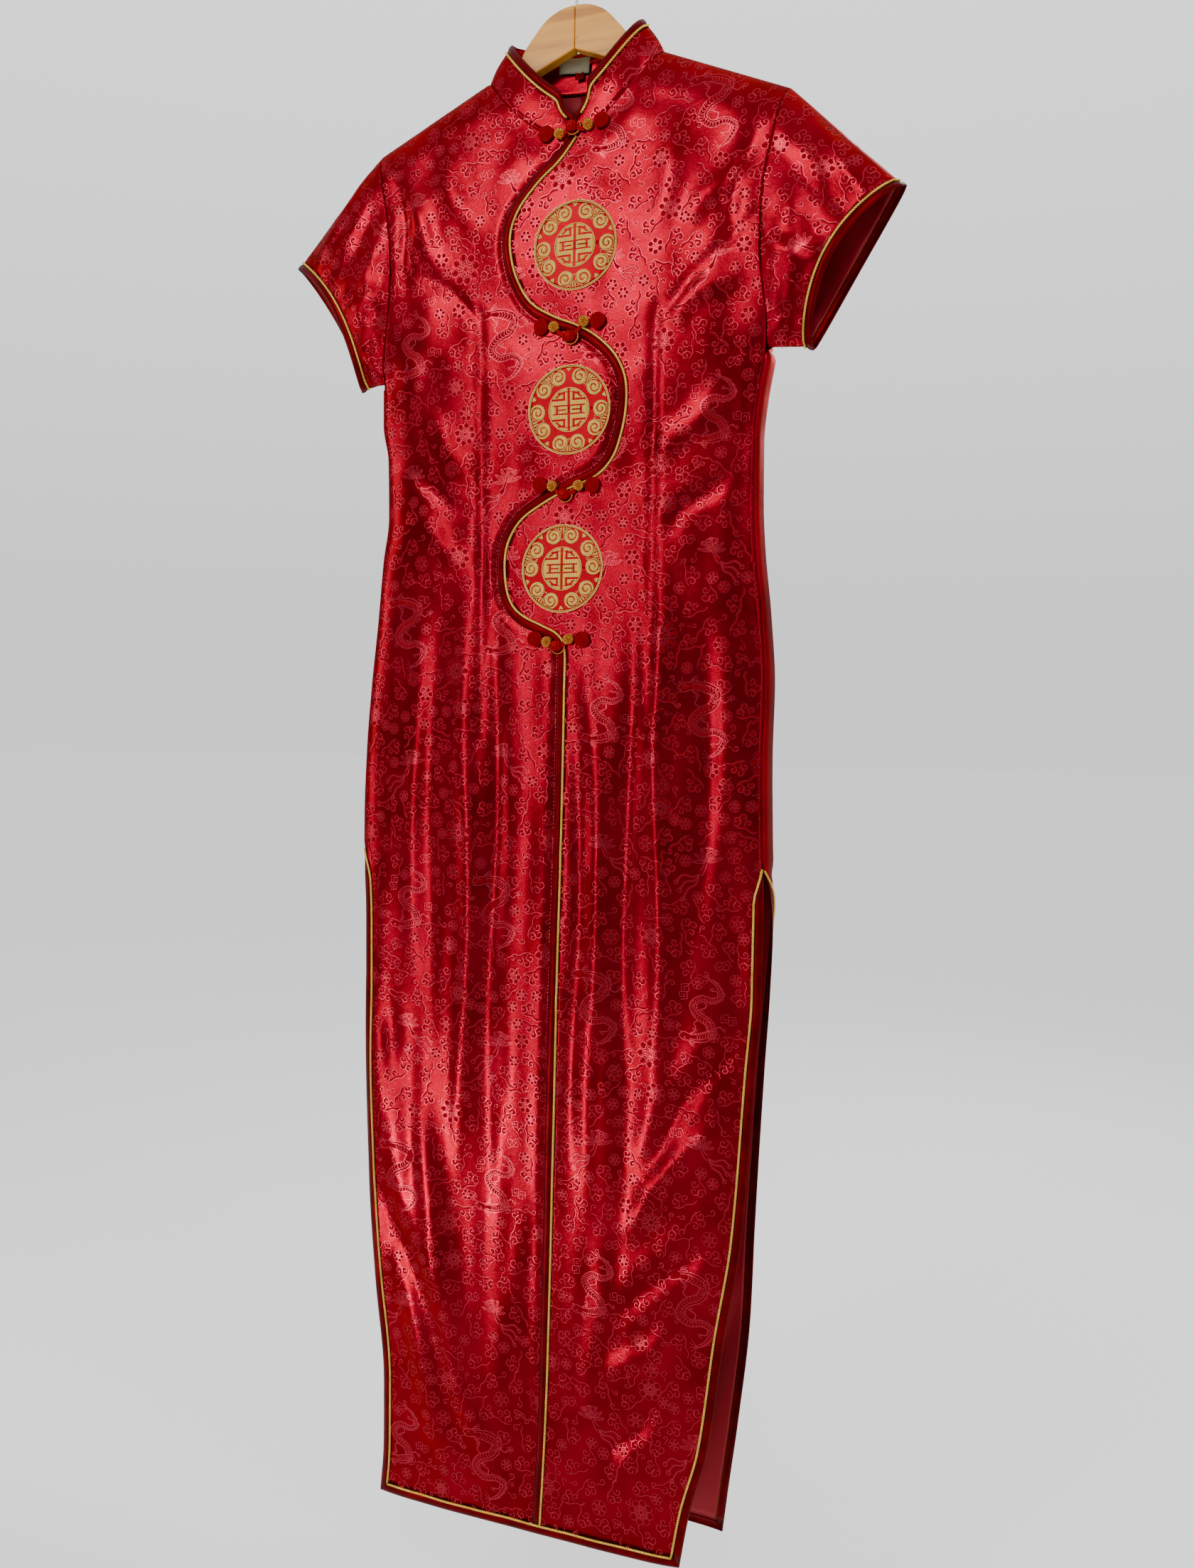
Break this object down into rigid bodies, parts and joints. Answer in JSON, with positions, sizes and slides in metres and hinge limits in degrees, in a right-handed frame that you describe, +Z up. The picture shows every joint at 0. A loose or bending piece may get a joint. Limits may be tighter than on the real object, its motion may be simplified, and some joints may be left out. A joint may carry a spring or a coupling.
{
  "type": "cheongsam dress on a wooden hanger",
  "caption": "Long red brocade cheongsam with a wavy bound front edge, stand collar, short sleeves and side slits, hanging flat on a wooden hanger with a wire hook",
  "frame": {"origin": "Inside of the hook's crown, where the hanger is held by a rail", "axes": "+Z is up, along the dress's length. -Y is the way that the dress's front faces. +X is the wearer's left."},
  "size_m": [0.6006, 0.0742, 1.4692],
  "materials": {
    "brocade": "satin jacquard",
    "satin": "plain satin",
    "gold_cord": "metallic thread",
    "gold_thread": "metallic thread",
    "red_cord": "satin cord",
    "wood": "clear varnish",
    "steel": "bright",
    "label": "woven"
  },
  "bodies": {
    "root": {"back_left": "brocade", "back_right": "brocade", "binding_back_hem": "satin", "binding_back_slit_left": "satin", "binding_back_slit_right": "satin", "binding_front_hem": "satin", "binding_front_slit_left": "satin", "binding_front_slit_right": "satin", "collar": "brocade", "collar_binding": "satin", "collar_piping": "gold_cord", "cuff_binding_left": "satin", "cuff_binding_right": "satin", "cuff_piping_left": "gold_cord", "cuff_piping_right": "gold_cord", "edge_binding": "satin", "edge_piping": "gold_cord", "frog_1_gold_left": "gold_cord", "frog_1_gold_right": "gold_cord", "frog_1_knot": "red_cord", "frog_1_red_left": "red_cord", "frog_1_red_right": "red_cord", "frog_2_gold_left": "gold_cord", "frog_2_gold_right": "gold_cord", "frog_2_knot": "red_cord", "frog_2_red_left": "red_cord", "frog_2_red_right": "red_cord", "frog_3_gold_left": "gold_cord", "frog_3_gold_right": "gold_cord", "frog_3_knot": "red_cord", "frog_3_red_left": "red_cord", "frog_3_red_right": "red_cord", "frog_4_gold_left": "gold_cord", "frog_4_gold_right": "gold_cord", "frog_4_knot": "red_cord", "frog_4_red_left": "red_cord", "frog_4_red_right": "red_cord", "front_left": "brocade", "front_right": "brocade", "hanger_hook": "steel", "hanger_left": "wood", "hanger_right": "wood", "label_tab": "satin", "medallion_1": "gold_thread", "medallion_2": "gold_thread", "medallion_3": "gold_thread", "neck_label": "label", "piping_back_hem": "gold_cord", "piping_back_slit_left": "gold_cord", "piping_back_slit_right": "gold_cord", "piping_front_hem": "gold_cord", "piping_front_slit_left": "gold_cord", "piping_front_slit_right": "gold_cord", "sleeve_left": "brocade", "sleeve_right": "brocade"}
  },
  "joints": []
}
